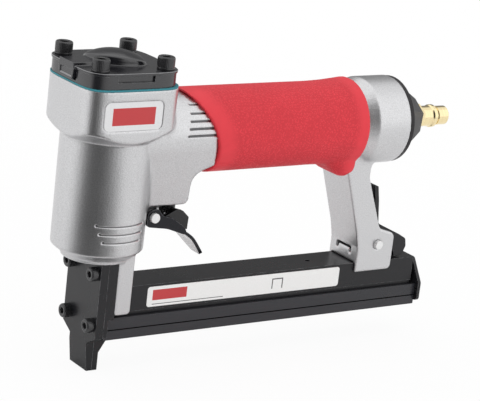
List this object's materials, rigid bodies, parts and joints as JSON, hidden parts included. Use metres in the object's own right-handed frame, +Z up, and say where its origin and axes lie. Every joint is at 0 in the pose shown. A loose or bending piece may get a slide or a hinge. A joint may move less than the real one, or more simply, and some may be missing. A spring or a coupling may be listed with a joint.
{
  "type": "pneumatic upholstery stapler",
  "caption": "Hand held air stapler: upright barrel with a bolted cap, rubber grip on the handle, lever trigger, long slide-out magazine with a rear latch, and a quick plug for air.",
  "frame": {"origin": "where a staple leaves the nose tip, on the driver's axis", "axes": "+X from the nose to the air inlet, +Y to the tool's right side, +Z up along the barrel"},
  "size_m": [0.2337, 0.049, 0.1588],
  "materials": {
    "cast_aluminium": "fine-grained satin casting",
    "anodised_aluminium": "hard anodised",
    "black_rubber": "smooth",
    "bright_steel": "ground",
    "urethane": "smooth",
    "white_plastic": "machined",
    "teal_gasket": "sheet gasket",
    "black_enamel": "glossy black",
    "black_steel": "black oxide",
    "dark_steel": "dark grey satin",
    "blued_steel": "blue-grey satin",
    "black_plastic": "moulded",
    "red_rubber": "pebbled",
    "brass": "turned",
    "pale_plate": "satin",
    "pale_label": "printed film, bare"
  },
  "bodies": {
    "tool_body": {"housing": "cast_aluminium", "cylinder_sleeve": "anodised_aluminium", "sleeve_seals": "black_rubber", "bumper": "urethane", "head_gasket": "teal_gasket", "cylinder_cap": "black_enamel", "exhaust_deflector": "black_enamel", "cap_washers": "black_steel", "cap_screws": "black_steel", "front_plate": "dark_steel", "guide_plate": "dark_steel", "nose_screws": "black_steel", "trigger_pin": "bright_steel", "valve_body": "black_plastic", "valve_seals": "black_rubber", "valve_cap": "black_plastic", "grip_sleeve": "red_rubber", "end_cap": "black_enamel", "end_cap_seal": "black_rubber", "air_nipple": "brass", "magazine_channel": "dark_steel", "channel_screw": "bright_steel", "latch_pin": "bright_steel", "name_plate": "pale_plate", "magazine_label": "pale_label", "head_valve_spring": "bright_steel", "valve_spring": "bright_steel", "latch_spring": "bright_steel"},
    "piston_unit": {"piston": "anodised_aluminium", "piston_ring": "black_rubber", "driver_blade": "bright_steel", "driver_pin": "bright_steel"},
    "head_valve_unit": {"head_valve": "white_plastic", "head_valve_seal": "black_rubber"},
    "trigger_unit": {"trigger": "blued_steel", "trigger_insert": "black_plastic"},
    "stem_unit": {"valve_stem": "bright_steel"},
    "drawer_unit": {"drawer_rail": "dark_steel", "staple_rail": "bright_steel", "end_plate": "dark_steel", "end_plate_screws": "bright_steel", "pusher_rod": "bright_steel", "pusher_spring": "bright_steel"},
    "pusher_unit": {"staple_pusher": "bright_steel"},
    "latch_unit": {"latch_lever": "dark_steel"}
  },
  "joints": [
    {"name": "trigger_pivot", "type": "hinge", "parent": "tool_body", "child": "trigger_unit", "pos_m": [0.0273, 0, 0.0763], "axis": [0, -1, 0], "range_deg": [0, 10], "stiffness_Nm_per_rad": 0.8, "springref_deg": -11.46},
    {"name": "valve_stem_slide", "type": "slide", "parent": "tool_body", "child": "stem_unit", "axis": [0, 0, 1], "range_m": [0, 0.0025], "deforming": ["valve_spring"]},
    {"name": "piston_stroke", "type": "slide", "parent": "tool_body", "child": "piston_unit", "axis": [0, 0, -1], "range_m": [0, 0.041]},
    {"name": "head_valve_lift", "type": "slide", "parent": "tool_body", "child": "head_valve_unit", "axis": [0, 0, 1], "range_m": [0, 0.003], "stiffness_N_per_m": 2000, "springref_m": -0.003, "deforming": ["head_valve_spring"]},
    {"name": "drawer_slide", "type": "slide", "parent": "tool_body", "child": "drawer_unit", "axis": [1, 0, 0], "range_m": [0, 0.11]},
    {"name": "pusher_slide", "type": "slide", "parent": "drawer_unit", "child": "pusher_unit", "axis": [1, 0, 0], "range_m": [0, 0.11], "stiffness_N_per_m": 40, "springref_m": -0.05, "deforming": ["pusher_spring"]},
    {"name": "latch_pivot", "type": "hinge", "parent": "tool_body", "child": "latch_unit", "pos_m": [0.1663, 0, 0.0521], "axis": [0, -1, 0], "range_deg": [0, 6], "stiffness_Nm_per_rad": 1.5, "springref_deg": -11.46, "deforming": ["latch_spring"]}
  ],
  "couplings": [
    {"joint": "valve_stem_slide", "follows": "trigger_pivot", "m_per_rad": 0.0132}
  ]
}
